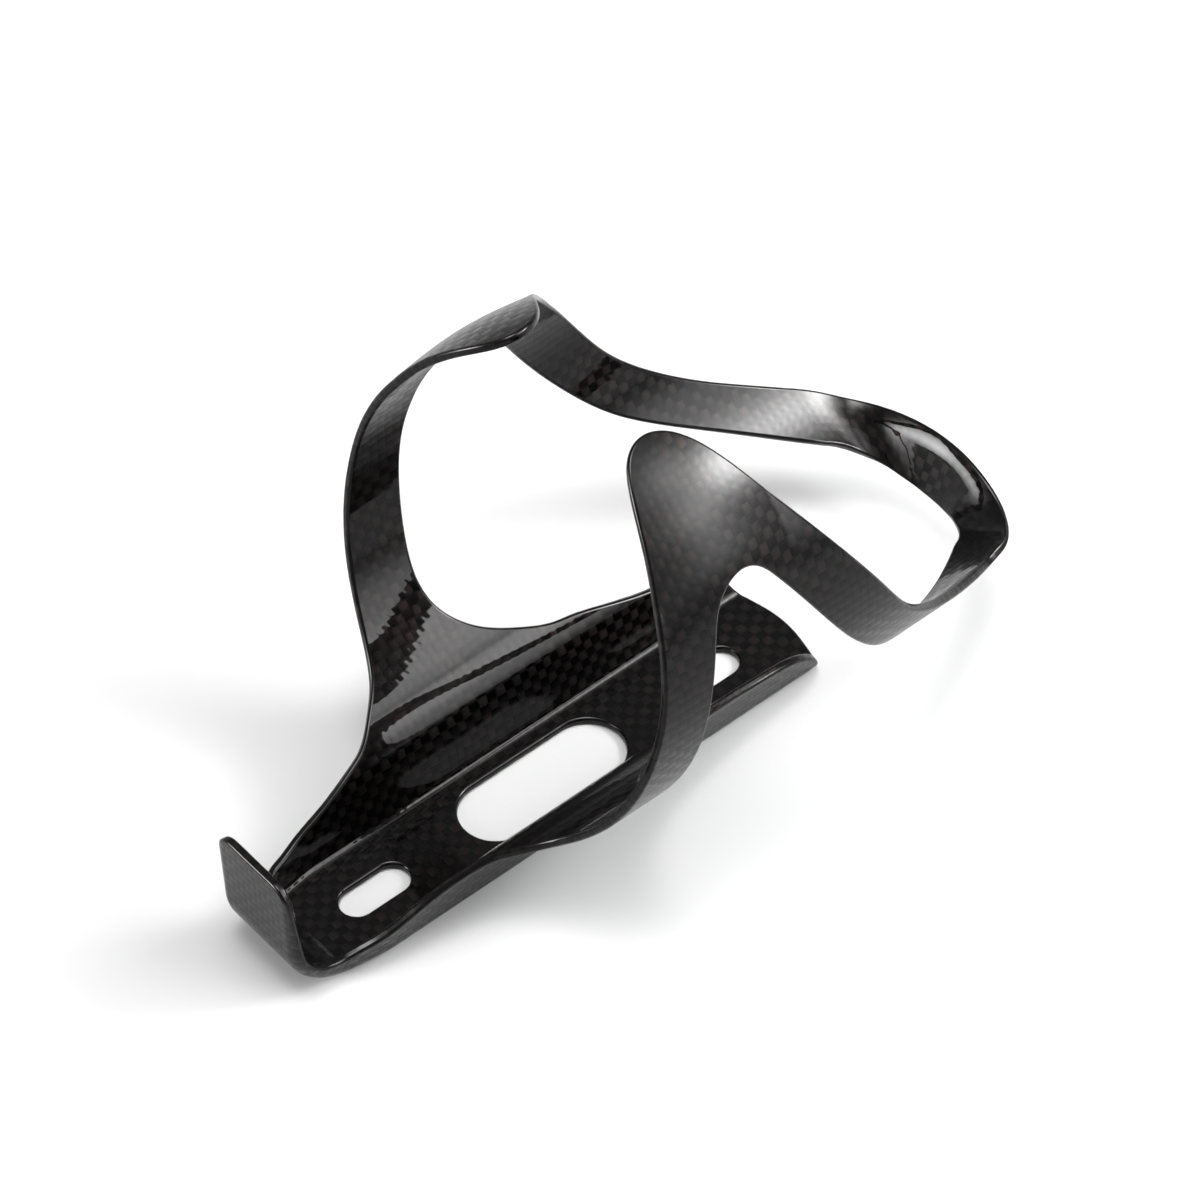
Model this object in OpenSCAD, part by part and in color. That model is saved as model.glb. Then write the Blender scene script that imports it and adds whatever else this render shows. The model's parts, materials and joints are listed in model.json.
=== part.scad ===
// Moulded water bottle cage, laid on its back: mounting face down, bottle axis along X.
// Origin: midway between the two bolt slots, on the mounting face. +Z points away from the
// bicycle frame, +X runs along the spine towards the end that carries the bottle's base.

/* [Mounting] */
// distance between the centres of the two bolt slots
bolt_spacing = 64; // [60:1:68]
// width of a bolt slot, for an M5 bolt
slot_width = 5.6; // [5.2:0.1:6.4]
// length of a bolt slot, end to end
slot_length = 12; // [8:0.5:14]
// length of the lightening window between the slots
window_length = 29.4; // [20:0.2:36]
// width of the lightening window
window_width = 12; // [8:0.5:13]

/* [Laminate] */
// thickness of the laminate
wall = 1.4; // [1.2:0.1:1.6]

/* [Bottle shell] */
// outer radius of the shell that wraps the bottle
shell_r = 35.7; // [35.4:0.1:36]
// height of the bottle axis over the mounting face
axis_z = 45.3; // [45:0.1:45.6]

/* [Spine] */
// half width of the flat of the spine, up to its corner bends
flat_half = 7.9; // [7.5:0.1:8.3]
// outer radius of the corner bends of the spine
bend_r = 2.8; // [2.2:0.1:3.2]
// lean of the spine walls, degrees out from upright
wall_lean = 10; // [8:1:12]
// X of the base end of the spine, on the centre line
spine_end_x = 48; // [47:0.5:49]
// radius of the base end of the spine, seen from above
spine_end_r = 24; // [22:1:30]

/* [Top tab] */
// X of the outer face of the tab that catches the groove of the bottle
tab_x = -52.8; // [-53:0.2:-51]
// height of the tab over the mounting face
tab_top = 24.2; // [18:0.5:26]
// half width of the tab at its foot
tab_foot_half = 9; // [8:0.1:9.4]
// half width of the tab at its top
tab_top_half = 8.2; // [7:0.1:8.4]
// radius of the top corners of the tab
tab_corner_r = 3.6; // [2:0.2:5]
// outer radius of the bend between spine and tab
tab_bend_r = 10; // [6:0.5:11]
// height of the rim where the spine walls run out into the tab
tab_rim = 5.8; // [4:0.2:6]

/* [Base stop] */
// X where the loop leaves the bottle shell and becomes the base stop
stop_x = 70; // [69:0.5:71]
// how far the lip of the base stop flares out
lip_out = 0.5; // [0.2:0.1:1.4]

/* [Hidden] */
$fn = 96;
// X where the spine ends and the bend up into the tab begins
tab_bend_x = tab_x + tab_bend_r;
// radius of the middle of the shell's laminate
mid_r = shell_r - wall / 2;

// angles round the bottle axis, from straight up, where one piece meets the next
a_root = 155;
a_arm = 125;
a_tip = 58;
a_heel = 105;
// the same for the top of the tip and the bottom of the heel, past the edges of the shell
a_crest = 10;
a_keel = 170;
// X of the crown of the notch between arm and band
notch_x = 14.2;
// X before which nothing of the shell lies
shell_x0 = -40;

// curve segments between two stations of an edge, and in one bend of a cross-section
steps = 4;
bend_steps = 8;
// stations further than this from the angle of a cut are left out of it
span = 50;
// cutting solids: length across the shell, and room past the spine
reach = 60;
room = 20;

carbon = [0.10, 0.10, 0.11];
carbon_warm = [0.14, 0.12, 0.12];

// Edges of the laminate as stations [x, angle from straight up].
// The mouth edge faces the bottle's shoulder: up the wing and arm, then down the band to the loop.
mouth_up = [[-29, 164], [-26, 160], [-22.5, 155.5], [-18.5, 150], [-15, 143], [-12, 130],
            [-9.5, 114], [-6.7, 97], [-4, 81], [-1.6, 65], [1.3, 48], [4.2, 33.5],
            [7.4, 24.5], [11, 21.8]];
mouth_down = [[11, 21.8], [14.6, 23.6], [18, 30], [21.4, 41], [25.4, 54], [30.5, 69],
              [35.8, 84], [39.6, 95], [43.2, 104], [48.6, 113.5], [56.6, 124], [64, 132],
              [71, 139.5], [76, 145]];
// The notch edge bounds the gap between arm and band: up the wing and arm to the crown, then down.
notch_up = [[30, 162], [22, 158.5], [14, 154.5], [8, 150.5], [3.5, 145], [0.3, 137],
            [-0.5, 128], [0.4, 118], [2.2, 104], [4.2, 88], [6.1, 76], [8, 67],
            [10.6, 61.8], [notch_x, 59.8]];
notch_down = [[notch_x, 59.8], [17.2, 62], [19.8, 68], [22.9, 77], [26.3, 87], [30, 97],
              [35, 108.7], [40.4, 119], [46.6, 127.5], [53, 135], [61, 144.5], [70.5, 156.5],
              [73, 160]];

// Rim of the spine walls seen from the side, [x, z], from the tab to the base end.
rim_front = [[tab_bend_x, tab_rim], [-40, 6.4], [-35.5, 8], [-32, 9.3], [-28, 10.9], [-25, 12],
             [-22.4, 13]];
rim_rear = [[14, 13.4], [18, 12.9], [22.5, 12.1], [27, 11.1], [31.5, 10.2], [37, 9.3],
            [40.6, 8], [43.2, 6.2], [45, 4], [46.3, 1.6]];

// Base stop, half of it: edge over the bottle's base, then edge towards the spine, [x, y, z].
stop_over = [[81.5, 0, 17.2], [81.2, 5, 17.1], [80.6, 9.4, 16.6], [79.8, 13.2, 16],
             [78.4, 16.4, 15.8], [76.5, 19, 16.1], [73.4, 21.5, 17.5]];
stop_under = [[77.6, 0, 8.2], [77.3, 3.1, 8.5], [76.5, 5.9, 9.2], [75.5, 8.2, 10.1],
              [74.3, 10.3, 10.9], [73, 12, 11.8], [71.5, 13.4, 12.7]];

// Catmull-Rom curve through a list of points, n steps between neighbours.
function curve_point(a, b, c, d, t) =
    0.5 * (2 * b + (c - a) * t + (2 * a - 5 * b + 4 * c - d) * t * t
           + (3 * b - a - 3 * c + d) * t * t * t);
function curve(p, n) =
    let (m = len(p))
    [for (i = [0 : m - 2], k = [0 : n - 1])
        curve_point(p[max(i - 1, 0)], p[i], p[i + 1], p[min(i + 2, m - 1)], k / n),
     p[m - 1]];
function reversed(p) = [for (i = [len(p) - 1 : -1 : 0]) p[i]];

// Stations near angle "a", laid out flat in the plane square to the radius there.
function near(p, a) = [for (q = p) if (abs(q[1] - a) < span) q];
function flat(p, a) = [for (q = p) [q[0], mid_r * sin(q[1] - a)]];
function on_shell(q) = [q[0], mid_r * sin(q[1]), axis_z + mid_r * cos(q[1])];

// The shell the bottle sits in, as a tube along X.
module tube() {
    translate([shell_x0, 0, axis_z])
    rotate([0, 90, 0])
    difference() {
        cylinder(r = shell_r, h = stop_x - shell_x0);
        translate([0, 0, -1])
        cylinder(r = shell_r - wall, h = stop_x - shell_x0 + 2);
    }
}

// Everything between two angles round the bottle axis, on the +Y side.
module wedge(a0, a1) {
    translate([shell_x0, 0, axis_z])
    rotate([90, 0, 90])
    linear_extrude(stop_x - shell_x0)
    polygon([[0, 0],
             [reach * sin(a0), reach * cos(a0)],
             [reach * sin(a1), reach * cos(a1)]]);
}

// Piece of the shell between two angles, its outline cut square to the shell at angle "a".
module shell_piece(up, down, a, a0, a1) {
    intersection() {
        tube();
        wedge(a0, a1);
        translate([0, 0, axis_z])
        rotate([-a, 0, 0])
        linear_extrude(reach)
        polygon(flat(concat(near(up, a), near(down, a)), a));
    }
}

// A point over the crown of the notch, so that arm and band close on each other there.
crown = [[notch_x, a_tip - 5]];

module wing() {
    shell_piece(curve(mouth_up, steps), reversed(curve(notch_up, steps)),
                (a_root + a_arm) / 2, a_arm, a_root);
}

module arm() {
    shell_piece(curve(mouth_up, steps), concat(crown, reversed(curve(notch_up, steps))),
                (a_arm + a_tip) / 2, a_tip, a_arm);
}

module tip() {
    shell_piece(curve(mouth_up, steps), curve(mouth_down, steps),
                (a_crest + a_tip) / 2, a_crest, a_tip);
}

module band() {
    shell_piece(concat(crown, curve(notch_down, steps)), reversed(curve(mouth_down, steps)),
                (a_tip + a_heel) / 2, a_tip, a_heel);
}

module heel() {
    shell_piece(curve(notch_down, steps), reversed(curve(mouth_down, steps)),
                (a_heel + a_root) / 2, a_heel, a_keel);
}

// Cross-section of a spine wall in [y, z]: corner bend, leaning wall, shoulder that runs
// into the bottle shell at a_root. The lengths follow from making every joint tangent.
lean = [sin(wall_lean), cos(wall_lean)];
side = [cos(wall_lean), -sin(wall_lean)];
wall_foot = [flat_half, bend_r] + (bend_r - wall / 2) * side;
shell_foot = [mid_r * sin(a_root), axis_z + mid_r * cos(a_root)];
shoulder_a = 270 - a_root;
turn = side + [cos(shoulder_a), sin(shoulder_a)];
gap = shell_foot - wall_foot;
det = lean[0] * turn[1] - lean[1] * turn[0];
wall_length = (gap[0] * turn[1] - gap[1] * turn[0]) / det;
shoulder_r = (lean[0] * gap[1] - lean[1] * gap[0]) / det;
shoulder_at = wall_foot + wall_length * lean + shoulder_r * side;

// Part of a ring of the laminate's thickness, mean radius r, between two angles.
module ring_sector(r, b0, b1) {
    far = 3 * r;
    intersection() {
        difference() {
            circle(r + wall / 2);
            circle(r - wall / 2);
        }
        polygon([[0, 0], [far * cos(b0), far * sin(b0)], [far * cos(b1), far * sin(b1)]]);
    }
}

function arc(at, r, b0, b1) =
    [for (k = [0 : bend_steps])
        let (b = b0 + (b1 - b0) * k / bend_steps)
        at + r * [cos(b), sin(b)]];

// The two bends of that section, on the line "e" outside the middle of the laminate.
function foot_line(e) = arc([flat_half, bend_r], bend_r - wall / 2 + e, -90, -wall_lean);
function shoulder_line(e) = arc(shoulder_at, shoulder_r - e, 180 - wall_lean, shoulder_a);

module wall_section() {
    polygon(concat(foot_line(wall / 2), shoulder_line(wall / 2),
                   reversed(shoulder_line(-wall / 2)), reversed(foot_line(-wall / 2))));
}

// Upright prism over the whole spine, with its base end rounded.
module spine_end() {
    translate([spine_end_x - spine_end_r, 0, -1])
    cylinder(r = spine_end_r, h = room);
    translate([tab_bend_x, -room, -1])
    cube([spine_end_x - spine_end_r - tab_bend_x, 2 * room, room]);
}

module spine_wall() {
    intersection() {
        translate([tab_bend_x, 0, 0])
        rotate([90, 0, 90])
        linear_extrude(spine_end_x - tab_bend_x)
        wall_section();
        spine_end();
        translate([0, room, 0])
        rotate([90, 0, 0])
        linear_extrude(room)
        polygon(concat([[tab_bend_x, -1]], curve(rim_front, steps),
                       [[rim_front[len(rim_front) - 1][0], room], [rim_rear[0][0], room]],
                       curve(rim_rear, steps), [[spine_end_x, -1]]));
    }
}

// Straight slot with round ends, along X.
module slot(x, length, width) {
    half = (length - width) / 2;
    translate([x, 0, -1])
    linear_extrude(wall + 2)
    union() {
        translate([-half, 0])
        circle(width / 2);
        translate([half, 0])
        circle(width / 2);
        translate([-half, -width / 2])
        square([2 * half, width]);
    }
}

module spine_deck() {
    color(carbon)
    difference() {
        intersection() {
            translate([tab_bend_x, -flat_half, 0])
            cube([spine_end_x - tab_bend_x, 2 * flat_half, wall]);
            spine_end();
        }
        slot(-bolt_spacing / 2, slot_length, slot_width);
        slot(bolt_spacing / 2, slot_length, slot_width);
        slot(0, window_length, window_width);
    }
}

// Side of the bowl between a spine wall and the tab: the foot of the wall turned round a corner.
module cheek() {
    outer = wall_foot[0] + wall / 2;
    rise = wall_length * lean;
    profile = concat(foot_line(wall / 2), [wall_foot + wall / 2 * side + rise,
                                           wall_foot - wall / 2 * side + rise],
                     reversed(foot_line(-wall / 2)));
    intersection() {
        translate([tab_bend_x, outer - tab_bend_r, 0])
        rotate_extrude()
        polygon([for (q = profile) q + [tab_bend_r - outer, 0]]);
        union() {
            translate([tab_bend_x, 0, tab_bend_r])
            rotate([-90, 0, 0])
            cylinder(r = tab_bend_r, h = room);
            translate([tab_bend_x - room, 0, tab_bend_r])
            cube(room);
        }
        translate([tab_bend_x - room, outer - tab_bend_r, 0])
        cube([room, room, tab_rim]);
    }
}

module tab_root() {
    color(carbon)
    union() {
        translate([tab_bend_x, tab_foot_half, tab_bend_r])
        rotate([90, 0, 0])
        linear_extrude(2 * tab_foot_half)
        ring_sector(tab_bend_r - wall / 2, 180, 270);
        cheek();
        mirror([0, 1, 0])
        cheek();
    }
}

module top_tab() {
    color(carbon_warm)
    translate([tab_x, 0, 0])
    rotate([90, 0, 90])
    linear_extrude(wall)
    union() {
        polygon([[-tab_foot_half, tab_bend_r], [tab_foot_half, tab_bend_r],
                 [tab_top_half, tab_top - tab_corner_r], [tab_top_half - tab_corner_r, tab_top],
                 [tab_corner_r - tab_top_half, tab_top], [-tab_top_half, tab_top - tab_corner_r]]);
        for (s = [-1, 1])
            translate([s * (tab_top_half - tab_corner_r), tab_top - tab_corner_r])
            circle(tab_corner_r);
    }
}

// Base stop: a ribbon between its two edges, running on from the shell where it leaves the loop.
// facets across the ribbon
across = 8;
// angle of each edge of the loop at stop_x, and how fast it turns, degrees per mm of X
over_angle = 138.4;
over_slope = 1.07;
under_angle = 156;
under_slope = 1.32;
// bow of the shell between the two edges
shell_bow = mid_r * (1 - cos((under_angle - over_angle) / 2));
// length of the stretch of shell before stop_x that leads each edge in
lead = 4;
// height across the ribbon, from 0 to 1, where the lip starts
lip_from = 0.7;
// the stations of one edge from the loop to the middle, led in by the shell's own edge
function half_edge(p, angle, slope) =
    let (before = on_shell([stop_x - lead, angle - lead * slope]),
         c = curve(concat([before, on_shell([stop_x, angle])], reversed(p)), steps))
    [for (i = [steps : len(c) - 1]) c[i]];
function whole_edge(p) =
    concat(p, [for (i = [len(p) - 2 : -1 : 0]) [p[i][0], -p[i][1], p[i][2]]]);
over = whole_edge(half_edge(stop_over, over_angle, over_slope));
under = whole_edge(half_edge(stop_under, under_angle, under_slope));
rows = len(over) - 1;

function ease(t) = t <= 0 ? 0 : t >= 1 ? 1 : t * t * (3 - 2 * t);
function unit(v) = v / norm(v);
// 0 where the stop leaves the loop, 1 in its middle third
function inward(i) = ease(min(i, rows - i) / (rows / 3));
// Point of the middle surface: row i along the stop, j of "across" steps up from the lower edge.
function stop_point(i, j) =
    let (v = j / across,
         chord = over[i] - under[i],
         out = unit(cross(chord, over[min(i + 1, rows)] - over[max(i - 1, 0)])),
         bow = shell_bow * 4 * v * (1 - v) * (1 - inward(i)),
         lip = lip_out * inward(i) * ease((v - lip_from) / (1 - lip_from)))
    under[i] + v * chord + (bow + lip) * out;
function stop_normal(i, j) =
    i == 0 || i == rows
    ? unit([0, stop_point(i, j)[1], stop_point(i, j)[2] - axis_z])
    : unit(cross(stop_point(i, min(j + 1, across)) - stop_point(i, max(j - 1, 0)),
                 stop_point(i + 1, j) - stop_point(i - 1, j)));

module base_stop() {
    w = across + 1;
    n = (rows + 1) * w;
    inner = [for (i = [0 : rows], j = [0 : across]) stop_point(i, j) - wall / 2 * stop_normal(i, j)];
    outer = [for (i = [0 : rows], j = [0 : across]) stop_point(i, j) + wall / 2 * stop_normal(i, j)];
    skin = [for (i = [0 : rows - 1], j = [0 : across - 1], k = [0, 1])
        let (a = i * w + j)
        k == 0 ? [a, a + 1, a + w] : [a + 1, a + w + 1, a + w]];
    back = [for (f = skin) [n + f[0], n + f[2], n + f[1]]];
    rims = [for (i = [0 : rows - 1], k = [0 : 3])
        let (a = i * w, b = i * w + across)
        k == 0 ? [a, a + w, n + a] : k == 1 ? [a + w, n + a + w, n + a]
        : k == 2 ? [b, n + b, b + w] : [b + w, n + b, n + b + w]];
    ends = [for (j = [0 : across - 1], k = [0 : 3])
        let (a = j, b = rows * w + j)
        k == 0 ? [a, n + a, a + 1] : k == 1 ? [a + 1, n + a, n + a + 1]
        : k == 2 ? [b, b + 1, n + b] : [b + 1, n + b + 1, n + b]];
    color(carbon)
    polyhedron(concat(inner, outer), concat(skin, back, rims, ends));
}

// The left side is the +Y side; the right side is its mirror image.
module right_side() {
    mirror([0, 1, 0])
    children();
}

spine_deck();
color(carbon) spine_wall();  // spine_wall_left
color(carbon) right_side() spine_wall();  // spine_wall_right
color(carbon_warm) wing();  // wing_left
color(carbon_warm) right_side() wing();  // wing_right
color(carbon) arm();  // arm_left
color(carbon) right_side() arm();  // arm_right
color(carbon_warm) tip();  // tip_left
color(carbon_warm) right_side() tip();  // tip_right
color(carbon) band();  // band_left
color(carbon) right_side() band();  // band_right
color(carbon_warm) heel();  // heel_left
color(carbon_warm) right_side() heel();  // heel_right
base_stop();
tab_root();
top_tab();
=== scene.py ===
"""Moulded carbon water bottle cage, lying on its back on a pale studio floor.

The cage is one laminate about 1.4 mm thick. Most of it is a sheet whose cross-section is the same
all along X (flat spine, corner bend, leaning wall, shoulder, then the round shell the bottle sits
in), bent up at one end into a tab. The sheet is drawn flat: u runs along the spine, s is the
length along the cross-section from its middle. Only the base stop, which bridges the two heels,
leaves that sheet, and is a ribbon of its own. Lengths in this script are millimetres until the
meshes are made.
"""

import json
import math

import bpy
import numpy as np
from mathutils import Matrix, Vector
from mathutils.geometry import delaunay_2d_cdt


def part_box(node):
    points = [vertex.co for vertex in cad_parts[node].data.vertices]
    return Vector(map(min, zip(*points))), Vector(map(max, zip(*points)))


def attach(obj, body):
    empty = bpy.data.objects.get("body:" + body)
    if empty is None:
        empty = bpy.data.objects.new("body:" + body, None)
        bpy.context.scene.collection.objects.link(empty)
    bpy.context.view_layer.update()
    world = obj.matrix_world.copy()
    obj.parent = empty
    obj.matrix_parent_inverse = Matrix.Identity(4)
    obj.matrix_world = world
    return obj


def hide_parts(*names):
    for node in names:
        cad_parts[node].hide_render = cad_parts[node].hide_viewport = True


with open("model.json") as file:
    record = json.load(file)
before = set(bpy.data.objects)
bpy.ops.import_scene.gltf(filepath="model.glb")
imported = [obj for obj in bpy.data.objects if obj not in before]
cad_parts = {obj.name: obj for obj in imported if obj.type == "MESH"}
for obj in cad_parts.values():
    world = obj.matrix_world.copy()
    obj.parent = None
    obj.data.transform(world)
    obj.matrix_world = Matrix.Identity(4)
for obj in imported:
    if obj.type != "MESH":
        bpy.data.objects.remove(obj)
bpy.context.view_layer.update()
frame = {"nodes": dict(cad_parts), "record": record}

MM = 0.001


# ---------------------------------------------------------------- sizes taken from the frame

def node_box(node):
    low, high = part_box(node)
    return np.array(low) / MM, np.array(high) / MM


MOUNTS = {m["name"]: m for m in frame["record"]["mounts"]}
BOLTS = MOUNTS["frame_bolts"]["dims"]
SLOT_AT = BOLTS["spacing_x_mm"] / 2
SLOT_W = 2 * BOLTS["hole_r_mm"]
SLOT_L = BOLTS["slot_length_mm"]
AXIS_Z = MOUNTS["bottle"]["pos_m"][2] / MM

DECK = node_box("spine_deck")
WALL = DECK[1][2]
FLAT_HALF = DECK[1][1]
SPINE_END = DECK[1][0]
SHELL_R = node_box("arm_left")[1][1]
MID_R = SHELL_R - WALL / 2
TAB = node_box("top_tab")
TAB_X = TAB[0][0]
TAB_TOP = TAB[1][2]
TAB_HALF = TAB[1][1]
TAB_BEND_X = DECK[0][0]
TAB_BEND_R = TAB_BEND_X - TAB_X
STOP_X = node_box("heel_left")[1][0]

WINDOW_L, WINDOW_W = 29.4, 12.0
# The photo's reflections ask for a wall that leans more, and a rounder shoulder, than the CAD's.
BEND_R, WALL_LEAN, A_SHOULDER = 2.8, 16.0, 152.0
# rounding of every rim of the laminate
EDGE_R = 0.5

# angles round the bottle axis, from straight up, where one piece meets the next
A_ROOT, A_ARM, A_TIP, A_HEEL = 155.0, 125.0, 58.0, 105.0
# the arm and the band part at SPLIT_X, or further on by SPLIT_SLOPE for each degree past A_SPLIT
SPLIT_X, A_SPLIT, SPLIT_SLOPE = 14.2, 60, 0.35


# ---------------------------------------------------------------- the cross-section

def deg(a):
    return np.radians(a)


def section_lengths():
    """Length of the leaning wall and radius of the shoulder that make every joint tangent."""
    lean = np.array([math.sin(deg(WALL_LEAN)), math.cos(deg(WALL_LEAN))])
    side = np.array([math.cos(deg(WALL_LEAN)), -math.sin(deg(WALL_LEAN))])
    foot = np.array([FLAT_HALF, BEND_R]) + (BEND_R - WALL / 2) * side
    shell = np.array([MID_R * math.sin(deg(A_SHOULDER)),
                      AXIS_Z + MID_R * math.cos(deg(A_SHOULDER))])
    end = deg(270 - A_SHOULDER)
    turn = side + np.array([math.cos(end), math.sin(end)])
    gap = shell - foot
    det = lean[0] * turn[1] - lean[1] * turn[0]
    length = (gap[0] * turn[1] - gap[1] * turn[0]) / det
    radius = (lean[0] * gap[1] - lean[1] * gap[0]) / det
    return lean, side, foot, length, radius


LEAN, SIDE, FOOT, WALL_LENGTH, SHOULDER_R = section_lengths()
BEND_MID = BEND_R - WALL / 2
S_BEND = FLAT_HALF
S_WALL = S_BEND + BEND_MID * deg(90 - WALL_LEAN)
S_SHOULDER = S_WALL + WALL_LENGTH
S_SHELL = S_SHOULDER + SHOULDER_R * deg(A_SHOULDER - 90 - WALL_LEAN)


def s_of_angle(a):
    """Length along the cross-section at an angle from straight up on the bottle shell."""
    return S_SHELL + MID_R * deg(A_SHOULDER - a)


def section(s):
    """Point (y, z) of the middle of the laminate at length s, for s >= 0."""
    s = np.asarray(s, float)
    b = deg(-90) + (s - S_BEND) / BEND_MID
    bend = FLAT_HALF + BEND_MID * np.cos(b), BEND_R + BEND_MID * np.sin(b)
    along = s - S_WALL
    wall = FOOT[0] + along * LEAN[0], FOOT[1] + along * LEAN[1]
    c = deg(180 - WALL_LEAN) - (s - S_SHOULDER) / SHOULDER_R
    at = FOOT + WALL_LENGTH * LEAN + SHOULDER_R * SIDE
    shoulder = at[0] + SHOULDER_R * np.cos(c), at[1] + SHOULDER_R * np.sin(c)
    shell = shell_point(s)
    where = [s < S_BEND, s < S_WALL, s < S_SHOULDER, s < S_SHELL]
    y = np.select(where, [s, bend[0], wall[0], shoulder[0]], shell[0])
    z = np.select(where, [np.full_like(s, WALL / 2), bend[1], wall[1], shoulder[1]], shell[1])
    return y, z


def shell_point(s):
    a = deg(A_SHOULDER) - (np.asarray(s, float) - S_SHELL) / MID_R
    return MID_R * np.sin(a), AXIS_Z + MID_R * np.cos(a)


CLIMB_S = np.linspace(S_WALL - 1, S_SHELL, 400)
CLIMB_Z = section(CLIMB_S)[1]


def s_of_height(z):
    """Length along the cross-section where wall or shoulder reaches height z."""
    return float(np.interp(z, CLIMB_Z, CLIMB_S))


# ---------------------------------------------------------------- the sheet in space

TAB_MID_R = TAB_BEND_R - WALL / 2
TAB_FOOT_U = TAB_BEND_X - TAB_MID_R * math.pi / 2
TAB_TOP_U = TAB_FOOT_U - (TAB_TOP - TAB_BEND_R)
# the spine draws in towards the tab, from NARROW_FROM to NARROW_TO, to this share of its width
NARROW_FROM, NARROW_TO, NARROW = -36.0, -47.0, 0.88
# the tips are domed across: their edges curl in and their middle line, at DOME_U, stands out
DOME, DOME_U, DOME_HALF, DOME_MOST = 1.1, 11.5, 10.0, 1.15
DOME_FROM, DOME_TO = s_of_angle(82), s_of_angle(50)


def smooth(t):
    t = np.clip(t, 0, 1)
    return t * t * (3 - 2 * t)


def sheet(u, s):
    """Middle of the laminate at u along the spine, s across it. Both are arrays."""
    u, s = np.asarray(u, float), np.asarray(s, float)
    side, a = np.sign(s), np.abs(s)
    y, z = section(a)
    past = (u > SPINE_END + 1) & (a < S_SHELL)
    ys, zs = shell_point(a)
    y, z = np.where(past, ys, y), np.where(past, zs, z)
    y = y * (1 - (1 - NARROW) * smooth((u - NARROW_FROM) / (NARROW_TO - NARROW_FROM)))
    across = np.clip(np.abs(u - DOME_U) / DOME_HALF, 0, DOME_MOST)
    domed = smooth((a - DOME_FROM) / (DOME_TO - DOME_FROM))
    swell = DOME * (0.5 - across ** 2 * (1 - 0.25 * across)) * domed
    r = np.hypot(y, z - AXIS_Z)
    y, z = y * (1 + swell / r), AXIS_Z + (z - AXIS_Z) * (1 + swell / r)
    turn = np.clip((TAB_BEND_X - u) / TAB_MID_R, 0, math.pi / 2)
    rise = np.maximum(TAB_FOOT_U - u, 0)
    x = np.where(u > TAB_BEND_X, u, TAB_BEND_X - TAB_MID_R * np.sin(turn))
    base = WALL / 2 + TAB_MID_R * (1 - np.cos(turn)) + rise
    up = z - WALL / 2
    return np.stack([x + up * np.sin(turn), side * y, base + up * np.cos(turn)], -1)


def unit(v):
    return v / np.maximum(np.linalg.norm(v, axis=-1, keepdims=True), 1e-12)


def tangents(u, s, step=0.01):
    tu = unit(sheet(u + step, s) - sheet(u - step, s))
    ts = unit(sheet(u, s + step) - sheet(u, s - step))
    return tu, ts


def sheet_normal(u, s):
    """Normal of the sheet, pointing to the bottle."""
    tu, ts = tangents(u, s)
    return unit(np.cross(tu, ts))


# ---------------------------------------------------------------- smooth curves through stations

def spline(points, gap):
    """Natural cubic spline through points, resampled about every gap."""
    p = np.array(points, float)
    t = np.r_[0, np.cumsum(np.sqrt(np.linalg.norm(np.diff(p, axis=0), axis=1)))]
    n, h = len(t), np.diff(t)
    m = np.zeros((n, n))
    rhs = np.zeros_like(p)
    m[0, 0] = m[-1, -1] = 1
    for i in range(1, n - 1):
        m[i, i - 1:i + 2] = h[i - 1], 2 * (h[i - 1] + h[i]), h[i]
        rhs[i] = 6 * ((p[i + 1] - p[i]) / h[i] - (p[i] - p[i - 1]) / h[i - 1])
    k = np.linalg.solve(m, rhs)
    q = np.linspace(0, t[-1], 4000)
    i = np.clip(np.searchsorted(t, q, side="right") - 1, 0, n - 2)
    a, b = (t[i + 1] - q)[:, None], (q - t[i])[:, None]
    w = h[i][:, None]
    c = ((k[i] * a ** 3 + k[i + 1] * b ** 3) / (6 * w)
         + (p[i] / w - k[i] * w / 6) * a + (p[i + 1] / w - k[i + 1] * w / 6) * b)
    return resample(c, gap)


def resample(c, gap):
    d = np.r_[0, np.cumsum(np.linalg.norm(np.diff(c, axis=0), axis=1))]
    e = np.linspace(0, d[-1], max(2, int(round(d[-1] / gap)) + 1))
    return np.stack([np.interp(e, d, c[:, j]) for j in range(c.shape[1])], -1)


# ---------------------------------------------------------------- the outline of the sheet

# Edges as stations [x, angle from straight up] on the shell, and [x, height] on the spine walls.
MOUTH = [[-18.5, 150], [-15, 143], [-12, 130], [-9.5, 114], [-6.7, 97], [-4, 81], [-1.6, 65],
         [1.3, 48], [4.2, 33.5], [7.4, 24.5], [11, 21.8], [14.6, 23.6], [18, 30], [21.4, 41],
         [25.4, 54], [30.5, 69], [35.8, 84], [39.6, 95], [43.2, 104], [48.6, 113.5],
         [56.6, 124], [64, 132], [71, 139.5], [76, 145]]
NOTCH = [[76, 163.5], [70.5, 156.5], [61, 144.5], [53, 135], [46.6, 127.5], [40.4, 119],
         [35, 108.7], [30, 97], [26.3, 87], [22.9, 77], [19.8, 68], [17.2, 62], [14.2, 59.8],
         [10.6, 61.8], [8, 67], [6.1, 76], [4.2, 88], [2.2, 104], [0.4, 118], [-0.5, 128],
         [0.3, 137], [3.5, 145], [8, 150.5]]
RIM_FRONT = [[-40, 6.4], [-35.5, 8], [-32, 9.3], [-28, 10.9], [-25, 12], [-22.4, 13]]
RIM_REAR = [[14, 13.4], [18, 12.9], [22.5, 12.1], [27, 11.1], [31.5, 10.2], [37, 9.3],
            [40.6, 8], [43.2, 6]]
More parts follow.
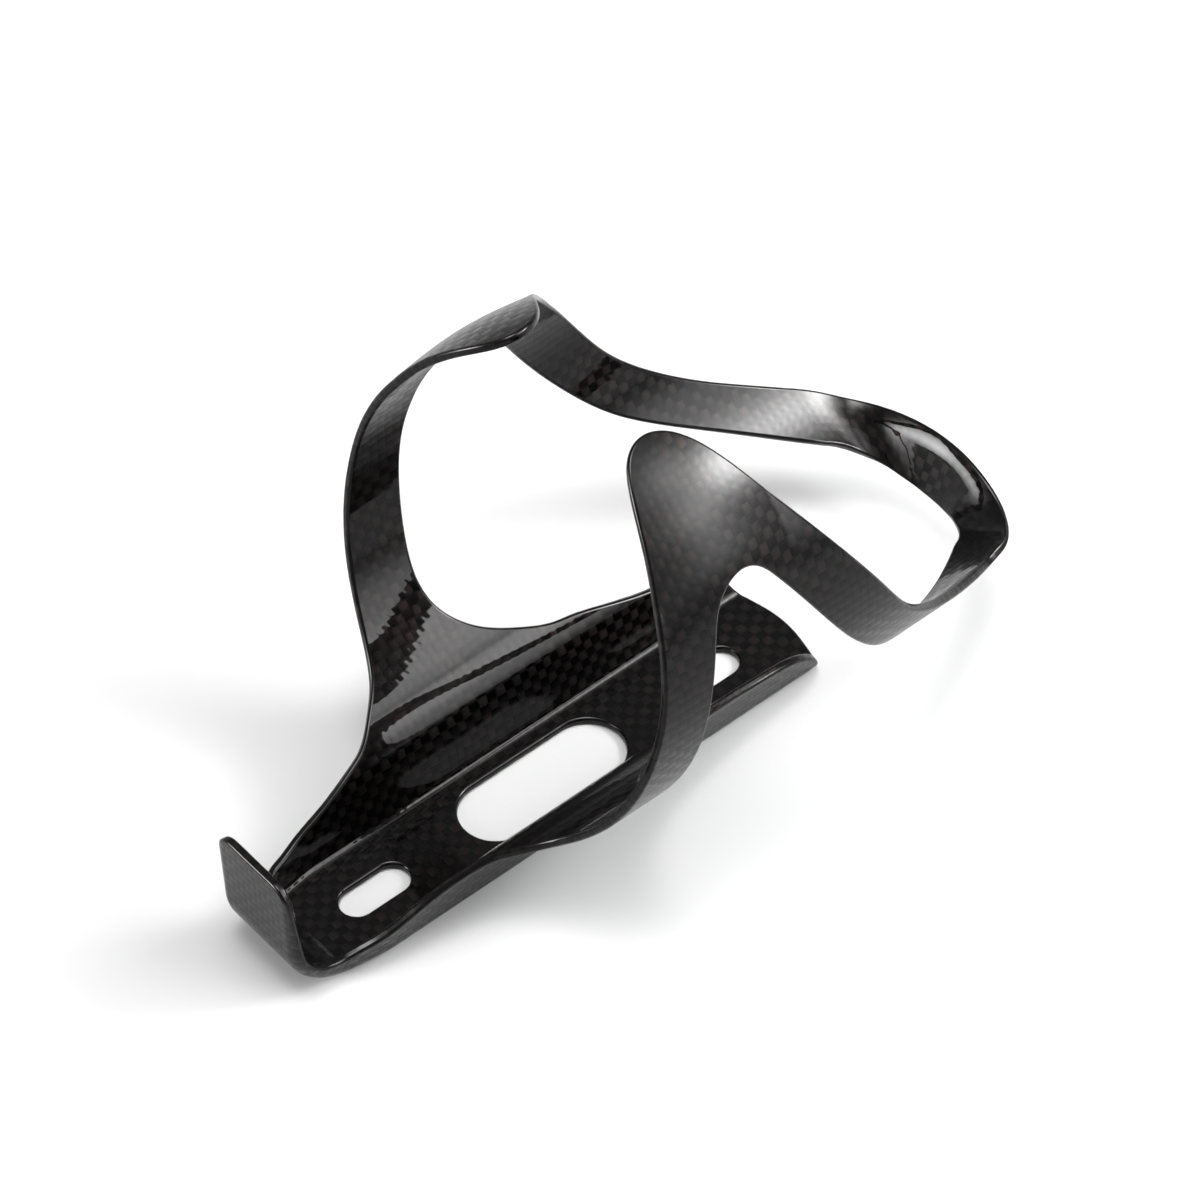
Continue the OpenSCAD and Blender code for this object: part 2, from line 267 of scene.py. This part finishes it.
# the end of the spine, from its wall to its middle, as [x, s]
SPINE_TIP = [[44.8, 12.6], [45.7, 10.9], [46.3, 9.4], [46.8, 7.6], [47.4, 5], [47.85, 2.5],
             [48, 0], [47.85, -2.5], [47.4, -5]]
EDGE_GAP, FINE_GAP = 0.55, 0.1
TAB_CORNER_R, TAB_HALF_TOP, TAB_RIM_Z = 3.8, 8.2, 5.8


def tab_outline():
    """From the middle of the tab's top, round its corner and down to the spine's rim."""
    half_top, half_foot = TAB_HALF_TOP / NARROW, TAB_HALF / NARROW
    at = [TAB_TOP_U + TAB_CORNER_R, half_top - TAB_CORNER_R]
    points = [[TAB_TOP_U, -2], [TAB_TOP_U, 0], [TAB_TOP_U, 2.2]]
    for a in (0, 22, 45, 68, 90):
        points.append([at[0] - TAB_CORNER_R * math.cos(deg(a)),
                       at[1] + TAB_CORNER_R * math.sin(deg(a))])
    points += [[TAB_FOOT_U - 5, 0.5 * (half_top + half_foot)], [TAB_FOOT_U, half_foot],
               [TAB_FOOT_U + 4.5, half_foot + 0.7], [TAB_FOOT_U + 9, half_foot + 2.2]]
    return points


def half_outline():
    """The rim of the +Y half in two runs: tab to heel, and heel to the end of the spine."""
    first = tab_outline()
    first += [[x, s_of_height(z)] for x, z in [[TAB_BEND_X, TAB_RIM_Z]] + RIM_FRONT]
    first += [[x, s_of_angle(a)] for x, a in MOUTH]
    second = [[x, s_of_angle(a)] for x, a in NOTCH]
    second += [[x, s_of_height(z)] for x, z in RIM_REAR] + SPINE_TIP
    first, second = spline(first, FINE_GAP), spline(second, FINE_GAP)
    first = first[(first[:, 1] >= 0) & (first[:, 0] <= STOP_X)]
    second = second[(second[:, 1] >= 0) & (second[:, 0] <= STOP_X)]
    first[0, 1] = second[-1, 1] = 0
    first[-1, 0] = second[0, 0] = STOP_X
    return resample(first, EDGE_GAP), resample(second, EDGE_GAP)


def left_normals(run, closed=False):
    """Unit normals of a run of points, to the left of its direction."""
    if closed:
        t = np.roll(run, -1, 0) - np.roll(run, 1, 0)
    else:
        t = np.gradient(run, axis=0)
    t = unit(t)
    return np.stack([-t[:, 1], t[:, 0]], -1)


def obround(x, length, width):
    """Clockwise loop of a straight slot with round ends: the sheet lies on its left."""
    r, half = width / 2, (length - width) / 2
    a = np.radians(np.arange(0, 180, 1.0))
    right = np.stack([x + half + r * np.sin(a), r * np.cos(a)], -1)
    left = np.stack([x - half - r * np.sin(a), -r * np.cos(a)], -1)
    loop = np.vstack([right, left, right[:1]])
    return resample(loop, EDGE_GAP)[:-1]


# length over which a rim's normal turns to lie along the cut between heel and base stop
CUT_TURN = 5
CUT_COLUMNS = 10


def rim_normals(run, cut, cut_way, middle_way):
    """Normals into the sheet, settled at the run's two ends: cut (0 or -1) is the one at the heel.

    Both runs have the sheet on their right. The other end lies on the middle line.
    """
    near = np.linalg.norm(run - run[cut], axis=1)
    w = smooth(near / CUT_TURN)[:, None]
    n = unit(w * -left_normals(run) + (1 - w) * np.array([0, cut_way]))
    n[-1 - cut] = [middle_way, 0]
    return n


# ---------------------------------------------------------------- rounded rim of the laminate

ARC_STEPS = 5


def rim_profile():
    """Steps across a rim, from the bottle's side out: (inset, height, angle of the normal)."""
    out = []
    for k in range(ARC_STEPS + 1):
        a = math.pi / 2 * k / ARC_STEPS
        out.append((EDGE_R * (1 - math.sin(a)), WALL / 2 - EDGE_R * (1 - math.cos(a)), a))
    back = [(d, -h, math.pi - a) for d, h, a in reversed(out)]
    return out + back


PROFILE = rim_profile()


class Piles:
    """Vertices, normals, flat coordinates and faces, sorted into pieces by name."""

    def __init__(self):
        self.co, self.no, self.uv, self.count = [], [], [], 0
        self.faces, self.names = [], []

    def points(self, co, no, uv):
        first = self.count
        self.co.append(co)
        self.no.append(no)
        self.uv.append(uv)
        self.count += len(co)
        return first + np.arange(len(co))

    def face(self, corners, name):
        self.faces.append(corners)
        self.names.append(name)


PILES = Piles()


def name_of(u, s):
    """Piece that the sheet belongs to at (u, s)."""
    a = A_SHOULDER - math.degrees((abs(s) - S_SHELL) / MID_R)
    side = "left" if s > 0 else "right"
    if u < TAB_FOOT_U:
        return "top_tab"
    if u < TAB_BEND_X:
        return "tab_root"
    if u < SPINE_END + 1 and abs(s) < S_BEND:
        return "spine_deck"
    if u < SPINE_END + 1 and a > A_ROOT:
        return "spine_wall_" + side
    if a < A_TIP:
        return "tip_" + side
    if u > SPLIT_X + max(0, a - A_SPLIT) * SPLIT_SLOPE:
        return ("heel_" if a > A_HEEL else "band_") + side
    return ("wing_" if a > A_ARM else "arm_") + side


# a face of the rim belongs to the piece this far inside it
NAMED_INSIDE = 0.2


def add_rim(run, normals, closed):
    """Rounded edge along a run of rim. Returns the two rings that the faces of the sheet join."""
    tu, ts = tangents(run[:, 0], run[:, 1])
    out = -unit(normals[:, :1] * tu + normals[:, 1:] * ts)
    rings = []
    for inset, height, angle in PROFILE:
        p = run + inset * normals
        n = sheet_normal(p[:, 0], p[:, 1])
        co = sheet(p[:, 0], p[:, 1]) + height * n
        rings.append(PILES.points(co, unit(math.cos(angle) * n + math.sin(angle) * out), p))
    count = len(run)
    for k in range(len(rings) - 1):
        a, b = rings[k], rings[k + 1]
        for i in range(count if closed else count - 1):
            j = (i + 1) % count
            name = name_of(*(run[i] + NAMED_INSIDE * normals[i]))
            PILES.face((a[i], b[i], b[j], a[j]), name)
    return rings[0], rings[-1]


def inside(points, loop):
    """Which points lie inside a closed loop."""
    x, y = points[:, 0][:, None], points[:, 1][:, None]
    a, b = loop, np.roll(loop, -1, 0)
    crosses = (a[:, 1] > y) != (b[:, 1] > y)
    with np.errstate(divide="ignore", invalid="ignore"):
        at = (b[:, 0] - a[:, 0]) * (y - a[:, 1]) / (b[:, 1] - a[:, 1]) + a[:, 0]
    return (np.sum(crosses & (x < at), axis=1) % 2).astype(bool)


def steps(a, b, gap):
    return list(np.linspace(a, b, max(2, int(round(abs(b - a) / gap)) + 1))[:-1])


# bands of the grid inside the sheet, as (from, to, gap): across it, up past the tips, and along it
A_TOP = 18
ROW_BANDS = [(0, S_BEND, 1.0), (S_BEND, S_WALL, 0.3), (S_WALL, S_SHOULDER, 1.0),
             (S_SHOULDER, S_SHELL, 0.5), (S_SHELL, s_of_angle(A_TOP), 1.0)]
COLUMN_BANDS = [(TAB_TOP_U, TAB_FOOT_U, 1.0), (TAB_FOOT_U, TAB_BEND_X, 0.5),
                (TAB_BEND_X, STOP_X, 0.8)]
# the grid keeps this far from the rims; thinner triangles than THINNEST are left out
RIM_CLEAR, THINNEST = 0.42, 1e-7
BATCH = 4000


def grid_points():
    """Points inside the sheet, closer together where it bends."""
    rows = [s for band in ROW_BANDS for s in steps(*band)]
    columns = [u for band in COLUMN_BANDS for u in steps(*band)]
    rows = [-r for r in rows[:0:-1]] + rows
    return np.array([[u, s] for u in columns for s in rows])


def keep_clear(points, loops, gap):
    """Drops the points closer than gap to a vertex of a loop."""
    keep = np.ones(len(points), bool)
    for loop in loops:
        for start in range(0, len(points), BATCH):
            part = points[start:start + BATCH]
            d = np.min(np.linalg.norm(part[:, None] - loop[None], axis=2), axis=1)
            keep[start:start + BATCH] &= d > gap
    return points[keep]


def mirrored(p):
    return p * [1, -1]


def build_sheet():
    """The rims and faces of everything but the base stop."""
    first, second = half_outline()
    n1 = rim_normals(first, -1, -1.0, 1)
    n2 = rim_normals(second, 0, 1.0, -1)
    left_mouth, left_notch = add_run(first, n1), add_run(second, n2)
    right_mouth = add_run(mirrored(first)[::-1], mirrored(n1)[::-1])
    right_notch = add_run(mirrored(second)[::-1], mirrored(n2)[::-1])
    cut_from, cut_to = (first + EDGE_R * n1)[-1], (second + EDGE_R * n2)[0]
    t = np.linspace(0, 1, CUT_COLUMNS + 1)[1:-1, None]
    cut = cut_from + t * (cut_to - cut_from)
    left_cut, right_cut = add_inset(cut), add_inset(mirrored(cut)[::-1])
    # once round the sheet: tab, left mouth, left cut, left notch, right notch, cut, mouth
    order = [left_mouth, left_cut, left_notch, drop_first(right_notch), right_cut,
             drop_last(right_mouth)]
    loops = [tuple(np.concatenate([part[k] for part in order]) for k in range(3))]
    for x, length, width in ((-SLOT_AT, SLOT_L, SLOT_W), (SLOT_AT, SLOT_L, SLOT_W),
                             (0, WINDOW_L, WINDOW_W)):
        loop = obround(x, length, width)
        n = left_normals(loop, closed=True)
        top, bottom = add_rim(loop, n, True)
        loops.append((loop + EDGE_R * n, top, bottom))
    fill_sheet(loops)


def add_run(run, normals):
    top, bottom = add_rim(run, normals, False)
    return run + EDGE_R * normals, top, bottom


def add_inset(points):
    """Loose vertices on both faces of the sheet."""
    n = sheet_normal(points[:, 0], points[:, 1])
    co = sheet(points[:, 0], points[:, 1])
    top = PILES.points(co + WALL / 2 * n, n, points)
    bottom = PILES.points(co - WALL / 2 * n, -n, points)
    return points, top, bottom


def drop_first(part):
    return tuple(p[1:] for p in part)


def drop_last(part):
    return tuple(p[:-1] for p in part)


def fill_sheet(loops):
    """Both faces of the sheet, between its outline (the first loop) and its openings."""
    flat = [loop[0] for loop in loops]
    points = grid_points()
    points = points[inside(points, flat[0])]
    for hole in flat[1:]:
        points = points[~inside(points, hole)]
    points = keep_clear(points, flat, RIM_CLEAR)
    _, top, bottom = add_inset(points)
    flat_all = np.vstack(flat + [points])
    top = np.concatenate([loop[1] for loop in loops] + [top])
    bottom = np.concatenate([loop[2] for loop in loops] + [bottom])
    edges, at = [], 0
    for loop in flat:
        edges += [(at + i, at + (i + 1) % len(loop)) for i in range(len(loop))]
        at += len(loop)
    _, _, faces, source, _, _ = delaunay_2d_cdt(
        [Vector(p) for p in flat_all], edges, [], 0, 1e-6)
    origin = [s[0] if s else -1 for s in source]
    corners = np.array([[origin[i] for i in f] for f in faces if len(f) == 3])
    corners = corners[(corners >= 0).all(1)]
    middle = flat_all[corners].mean(1)
    keep = inside(middle, flat[0])
    for hole in flat[1:]:
        keep &= ~inside(middle, hole)
    for c, m in zip(corners[keep], middle[keep]):
        p = flat_all[c]
        area = np.cross(p[1] - p[0], p[2] - p[0])
        if abs(area) < THINNEST:
            continue
        if area < 0:
            c = c[::-1]
        name = name_of(*m)
        PILES.face(tuple(top[c]), name)
        PILES.face(tuple(bottom[c[::-1]]), name)


# ---------------------------------------------------------------- the base stop

# Half of each edge of the base stop, from its middle to the heel, as [x, y, z].
OVER = [[81.5, 0, 17.2], [81.2, 5, 17.1], [80.6, 9.4, 16.6], [79.8, 13.2, 16],
        [78.4, 16.4, 15.8], [76.5, 19, 16.1], [73.4, 21.5, 17.5]]
UNDER = [[77.6, 0, 8.2], [77.3, 3.1, 8.5], [76.5, 5.9, 9.2], [75.5, 8.2, 10.1],
         [74.3, 10.3, 10.9], [73, 12, 11.8], [71.5, 13.4, 12.7]]
# the lip flares out by LIP_OUT, from this share of the way from the lower edge to the upper one
LIP_OUT, LIP_FROM = 0.7, 0.68
STOP_ROWS = 120
# rows from a heel over which the ribbon eases into its own form, and its normals leave the shell's
EASE_ROWS, SETTLE_ROWS = STOP_ROWS / 3, 12


def stop_edge(half, cut, before):
    """Edge of the base stop from the left heel to the right one, STOP_ROWS + 1 points.

    It starts at the cut, and runs on smoothly from the heel's own rim points in before.
    """
    lead = [sheet(np.array([p[0]]), np.array([p[1]]))[0] for p in before]
    left = lead + [sheet(np.array([cut[0]]), np.array([cut[1]]))[0]]
    left += [np.array(p, float) for p in reversed(half)]
    full = left + [p * [1, -1, 1] for p in left[-2::-1]]
    c = spline(full, 0.02)
    a = np.argmin(np.linalg.norm(c - left[len(lead)], axis=1))
    b = np.argmin(np.linalg.norm(c - left[len(lead)] * [1, -1, 1], axis=1))
    c = c[a:b + 1]
    d = np.r_[0, np.cumsum(np.linalg.norm(np.diff(c, axis=0), axis=1))]
    e = np.linspace(0, d[-1], STOP_ROWS + 1)
    return np.stack([np.interp(e, d, c[:, j]) for j in range(3)], -1)


def build_stop():
    """Ribbon between two edges, running on from the cut edges of the two heels."""
    run1, run2 = half_outline()
    over = stop_edge(OVER, run1[-1], [run1[-12], run1[-6]])
    under = stop_edge(UNDER, run2[0], [run2[11], run2[5]])
    rows = np.arange(STOP_ROWS + 1)
    from_heel = np.minimum(rows, STOP_ROWS - rows)
    inner = smooth(from_heel / EASE_ROWS)
    settled = smooth(from_heel / SETTLE_ROWS)[:, None]
    chord = over - under
    along = unit(np.gradient(over, axis=0) + np.gradient(under, axis=0))
    out = unit(np.cross(chord, along))
    sagitta = MID_R * (1 - math.cos(0.5 * (run1[-1, 1] - run2[0, 1]) / MID_R))

    def surface(v):
        v = v * np.ones(len(rows))
        bow = sagitta * 4 * v * (1 - v) * (1 - inner)
        lip = LIP_OUT * inner * np.maximum((v - LIP_FROM) / (1 - LIP_FROM), 0) ** 2
        return under + v[..., None] * chord + (bow + lip)[..., None] * out

    def normals(v):
        across = surface(v + 0.01) - surface(v - 0.01)
        p = surface(v)
        return unit(np.cross(across, np.gradient(p, axis=0)))

    length = np.linalg.norm(chord, axis=1)
    d = np.r_[0, np.cumsum(np.linalg.norm(np.diff(0.5 * (over + under), axis=0), axis=1))]

    def layer(v, height, angle, edge=0):
        """Row of vertices at v across the ribbon; edge is -1 on the lower rim, 1 on the upper."""
        n = normals(v)
        radial = unit(surface(v) * [0, 1, 1] - [0, 0, AXIS_Z])
        to_axis = np.sign(np.sum(n * -radial, 1))[:, None]
        n = unit(settled * n * to_axis - (1 - settled) * radial)
        normal = math.cos(angle) * n + math.sin(angle) * edge * unit(chord)
        uv = np.stack([STOP_X + d, v * length], -1)
        return PILES.points(surface(v) + height * n, unit(normal), uv)

    r = EDGE_R / length
    columns = [r + (1 - 2 * r) * k / CUT_COLUMNS for k in range(1, CUT_COLUMNS)]
    ring = []
    for inset, height, angle in reversed(PROFILE):
        ring.append(layer(inset / length, height, angle, -1))
    ring += [layer(v, WALL / 2, 0) for v in columns]
    for inset, height, angle in PROFILE:
        ring.append(layer(1 - inset / length, height, angle, 1))
    ring += [layer(v, -WALL / 2, math.pi) for v in reversed(columns)]
    ring.append(ring[0])
    for a, b in zip(ring, ring[1:]):
        for i in range(STOP_ROWS):
            PILES.face((a[i], a[i + 1], b[i + 1], b[i]), "base_stop")


# ---------------------------------------------------------------- meshes

def facing_out(corners, co, no):
    """The corners in the order whose face looks the way its vertices' normals do."""
    a, b, c, d = co[corners[0]], co[corners[1]], co[corners[2]], co[corners[-1]]
    side = np.cross(c - a, d - b) if len(corners) == 4 else np.cross(b - a, c - a)
    return corners if np.dot(side, sum(no[i] for i in corners)) >= 0 else corners[::-1]


def make_pieces(material):
    co = np.vstack(PILES.co) * MM
    no = np.vstack(PILES.no)
    uv = np.vstack(PILES.uv)
    turned = [facing_out(f, co, no) for f in PILES.faces]
    for name in frame["nodes"]:
        faces = [f for f, n in zip(turned, PILES.names) if n == name]
        used = sorted({i for f in faces for i in f})
        place = {v: i for i, v in enumerate(used)}
        mesh = bpy.data.meshes.new("laminate_" + name)
        mesh.from_pydata([Vector(co[i]) for i in used], [],
                         [[place[i] for i in f] for f in faces])
        layer = mesh.uv_layers.new(name="weave")
        corner = np.empty(len(mesh.loops), int)
        mesh.loops.foreach_get("vertex_index", corner)
        flat = uv[np.array(used)][corner]
        layer.data.foreach_set("uv", flat.ravel().astype(np.float32))
        mesh.shade_smooth()
        mesh.normals_split_custom_set_from_vertices([Vector(no[i]) for i in used])
        mesh.materials.append(material)
        piece = bpy.data.objects.new("laminate_" + name, mesh)
        bpy.context.scene.collection.objects.link(piece)
        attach(piece, "root")
        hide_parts(name)


# ---------------------------------------------------------------- woven carbon under clear coat

# width of a tow in millimetres, and how the weave wanders
TOW, DRIFT_SCALE = 1.55, 0.09
RESIN = (0.0016, 0.0016, 0.0016, 1)
FIBRE, WARM_FIBRE = (0.0044, 0.0042, 0.0042, 1), (0.013, 0.0068, 0.0064, 1)
# relief of the weave under the coat, and what little of it prints through, in metres
WEAVE_RELIEF, PRINT_RELIEF = 0.00012, 0.000004


class Graph:
    """Short way to write a shader's nodes."""

    def __init__(self, tree):
        self.tree = tree

    def node(self, kind, **values):
        n = self.tree.nodes.new(kind)
        for key, value in values.items():
            setattr(n, key, value)
        return n

    def put(self, socket, value):
        if isinstance(value, bpy.types.NodeSocket):
            self.tree.links.new(value, socket)
        else:
            socket.default_value = value

    def math(self, operation, a, b=0.0, c=0.0):
        n = self.node("ShaderNodeMath", operation=operation)
        for socket, value in zip(n.inputs, (a, b, c)):
            self.put(socket, value)
        return n.outputs[0]

    def mix(self, factor, a, b):
        n = self.node("ShaderNodeMix", data_type="RGBA")
        self.put(n.inputs[0], factor)
        self.put(n.inputs[6], a)
        self.put(n.inputs[7], b)
        return n.outputs[2]

    def vector(self, x, y, z=0.0):
        n = self.node("ShaderNodeCombineXYZ")
        for socket, value in zip(n.inputs, (x, y, z)):
            self.put(socket, value)
        return n.outputs[0]


def carbon_material():
    """Plain weave of anisotropic tows under a clear coat that shows a trace of the weave."""
    mat = bpy.data.materials.new("woven_carbon")
    mat.use_nodes = True
    tree = mat.node_tree
    tree.nodes.clear()
    g = Graph(tree)
    out = g.node("ShaderNodeOutputMaterial")
    shader = g.node("ShaderNodeBsdfPrincipled")
    tree.links.new(shader.outputs[0], out.inputs[0])
    flat = g.node("ShaderNodeUVMap", uv_map="weave")
    split = g.node("ShaderNodeSeparateXYZ")
    tree.links.new(flat.outputs[0], split.inputs[0])
    drift = g.node("ShaderNodeTexNoise", noise_dimensions="2D")
    tree.links.new(flat.outputs[0], drift.inputs["Vector"])
    drift.inputs["Scale"].default_value = DRIFT_SCALE
    shift = g.node("ShaderNodeSeparateXYZ")
    tree.links.new(drift.outputs["Color"], shift.inputs[0])
    x = g.math("MULTIPLY_ADD", shift.outputs[0], TOW, split.outputs[0])
    y = g.math("MULTIPLY_ADD", shift.outputs[1], TOW, split.outputs[1])
    x, y = g.math("DIVIDE", x, TOW), g.math("DIVIDE", y, TOW)
    ix, iy = g.math("FLOOR", x), g.math("FLOOR", y)
    fx, fy = g.math("SUBTRACT", x, ix), g.math("SUBTRACT", y, iy)
    odd = g.math("PINGPONG", g.math("ADD", ix, iy), 1.0)
    # height of the two sets of tows inside a cell, and which of them is on top
    arch_x = g.math("SINE", g.math("MULTIPLY", fx, math.pi))
    arch_y = g.math("SINE", g.math("MULTIPLY", fy, math.pi))
    warp = g.math("MULTIPLY", g.math("POWER", arch_y, 0.5),
                  g.math("MULTIPLY_ADD", arch_x, 0.4, 0.6))
    weft = g.math("MULTIPLY", g.math("POWER", arch_x, 0.5),
                  g.math("MULTIPLY_ADD", arch_y, 0.4, 0.6))
    height = g.math("ADD", g.math("MULTIPLY", warp, g.math("SUBTRACT", 1.0, odd)),
                    g.math("MULTIPLY", weft, odd))
    cell = g.node("ShaderNodeTexWhiteNoise", noise_dimensions="2D")
    tree.links.new(g.vector(ix, iy), cell.inputs[0])
    tone = g.math("MULTIPLY_ADD", odd, 0.3, g.math("MULTIPLY", cell.outputs[0], 0.6))
    tint = g.math("POWER", drift.outputs[0], 2.0)
    color = g.mix(g.math("MULTIPLY", tone, height), RESIN, g.mix(tint, FIBRE, WARM_FIBRE))
    tree.links.new(color, shader.inputs["Base Color"])
    shader.inputs["Metallic"].default_value = 1.0
    shader.inputs["Roughness"].default_value = 0.42
    shader.inputs["Anisotropic"].default_value = 0.85
    shader.inputs["Coat Weight"].default_value = 0.4
    shader.inputs["Coat Roughness"].default_value = 0.035
    shader.inputs["Coat IOR"].default_value = 1.42
    tangent = g.node("ShaderNodeTangent", direction_type="UV_MAP", uv_map="weave")
    tree.links.new(tangent.outputs[0], shader.inputs["Tangent"])
    tree.links.new(g.math("MULTIPLY", odd, 0.25), shader.inputs["Anisotropic Rotation"])
    bump = g.node("ShaderNodeBump")
    bump.inputs["Strength"].default_value = 0.35
    bump.inputs["Distance"].default_value = WEAVE_RELIEF
    tree.links.new(height, bump.inputs["Height"])
    tree.links.new(bump.outputs[0], shader.inputs["Normal"])
    print_through = g.node("ShaderNodeBump")
    print_through.inputs["Strength"].default_value = 1.0
    print_through.inputs["Distance"].default_value = PRINT_RELIEF
    crown = g.math("MULTIPLY", arch_x, arch_y)
    tree.links.new(g.math("MULTIPLY", crown, crown), print_through.inputs["Height"])
    tree.links.new(print_through.outputs[0], shader.inputs["Coat Normal"])
    return mat


# ---------------------------------------------------------------- camera, floor and light

CAMERA_AZ, CAMERA_EL, CAMERA_ROLL, CAMERA_DISTANCE = -37.55, 48.16, -3.03, 849.3
LOOK_AT = np.array([30.54, 23.25, -0.6])
LENS, SENSOR = 165.0, 36.0
FLOOR_HALF, FLOOR_GREY = 3.0, 0.32


def make_camera():
    """The camera fitted to the photo, with its roll."""
    az, el, roll = deg(CAMERA_AZ), deg(CAMERA_EL), deg(CAMERA_ROLL)
    back = np.array([math.sin(az) * math.cos(el), -math.cos(az) * math.cos(el), math.sin(el)])
    right = np.array([math.cos(az), math.sin(az), 0])
    up = np.cross(back, right)
    right, up = (math.cos(roll) * right + math.sin(roll) * up,
                 math.cos(roll) * up - math.sin(roll) * right)
    place = (LOOK_AT + CAMERA_DISTANCE * back) * MM
    data = bpy.data.cameras.new("camera")
    data.lens, data.sensor_width = LENS, SENSOR
    data.clip_start, data.clip_end = 0.01, 50
    camera = bpy.data.objects.new("camera", data)
    m = Matrix.Identity(4)
    for i in range(3):
        m[i][0], m[i][1], m[i][2], m[i][3] = right[i], up[i], back[i], place[i]
    camera.matrix_world = m
    bpy.context.scene.collection.objects.link(camera)
    bpy.context.scene.camera = camera


def make_floor():
    mesh = bpy.data.meshes.new("floor")
    r = FLOOR_HALF
    mesh.from_pydata([(-r, -r, 0), (r, -r, 0), (r, r, 0), (-r, r, 0)], [], [(0, 1, 2, 3)])
    mat = bpy.data.materials.new("floor")
    mat.use_nodes = True
    shader = mat.node_tree.nodes["Principled BSDF"]
    shader.inputs["Base Color"].default_value = (FLOOR_GREY, FLOOR_GREY, FLOOR_GREY, 1)
    shader.inputs["Roughness"].default_value = 0.9
    shader.inputs["Specular IOR Level"].default_value = 0.0
    mesh.materials.append(mat)
    floor = bpy.data.objects.new("floor", mesh)
    bpy.context.scene.collection.objects.link(floor)


def direction(azimuth, elevation):
    """Unit vector: azimuth 0 is -Y and 90 is +X; elevation is above the floor."""
    a, e = deg(azimuth), deg(elevation)
    return Vector((math.sin(a) * math.cos(e), -math.cos(a) * math.cos(e), math.sin(e)))


# soft lobes of the studio round the cage: azimuth, elevation, width in degrees, radiance
LOBES = [(0, 90, 12, 30.0), (-118, 14, 13, 44.0), (43, 53, 11, 10.0), (33, 36, 11, 12.0),
         (28, 18, 12, 6.0)]
AMBIENT = 0.5


def make_world():
    """A studio of soft lobes over an even ambient."""
    world = bpy.data.worlds.new("studio")
    bpy.context.scene.world = world
    world.use_nodes = True
    tree = world.node_tree
    g = Graph(tree)
    where = g.node("ShaderNodeTexCoord")
    total = None
    for azimuth, elevation, width, radiance in LOBES:
        dot = g.node("ShaderNodeVectorMath", operation="DOT_PRODUCT")
        tree.links.new(where.outputs["Generated"], dot.inputs[0])
        dot.inputs[1].default_value = direction(azimuth, elevation)
        sharp = 1 / (1 - math.cos(deg(width)))
        off_axis = g.math("SUBTRACT", dot.outputs[1], 1.0)
        fall = g.math("EXPONENT", g.math("MULTIPLY", off_axis, sharp))
        total = g.math("MULTIPLY_ADD", fall, radiance, AMBIENT if total is None else total)
    background = tree.nodes["Background"]
    background.inputs[0].default_value = (1, 1, 1, 1)
    tree.links.new(total, background.inputs[1])


def soft_card(name, place, target, size, layers):
    """Round light that fades smoothly from its middle: layers are (radius, strength)."""
    data = bpy.data.lights.new(name, "AREA")
    data.shape = "DISK"
    data.size = size
    data.energy = 1.0
    data.use_nodes = True
    tree = data.node_tree
    g = Graph(tree)
    spot = g.node("ShaderNodeNewGeometry")
    away = g.node("ShaderNodeVectorMath", operation="DISTANCE")
    tree.links.new(spot.outputs["Position"], away.inputs[0])
    away.inputs[1].default_value = place
    total = None
    for radius, strength in layers:
        far = g.math("DIVIDE", away.outputs[1], radius)
        fall = g.math("EXPONENT", g.math("MULTIPLY", g.math("MULTIPLY", far, far), -1.0))
        total = g.math("MULTIPLY_ADD", fall, strength, 0.0 if total is None else total)
    tree.links.new(total, tree.nodes["Emission"].inputs[1])
    light = bpy.data.objects.new(name, data)
    light.location = place
    aim = Vector(target) - Vector(place)
    light.rotation_euler = aim.to_track_quat("-Z", "Y").to_euler()
    bpy.context.scene.collection.objects.link(light)


make_camera()
make_floor()
make_world()
soft_card("key", place=(0.37, -0.25, 0.37), target=(0.04, 0.0, 0.04), size=0.7,
          layers=[(0.08, 80.0), (0.16, 7.0)])
bpy.context.scene.view_settings.view_transform = "Standard"
build_sheet()
build_stop()
make_pieces(carbon_material())
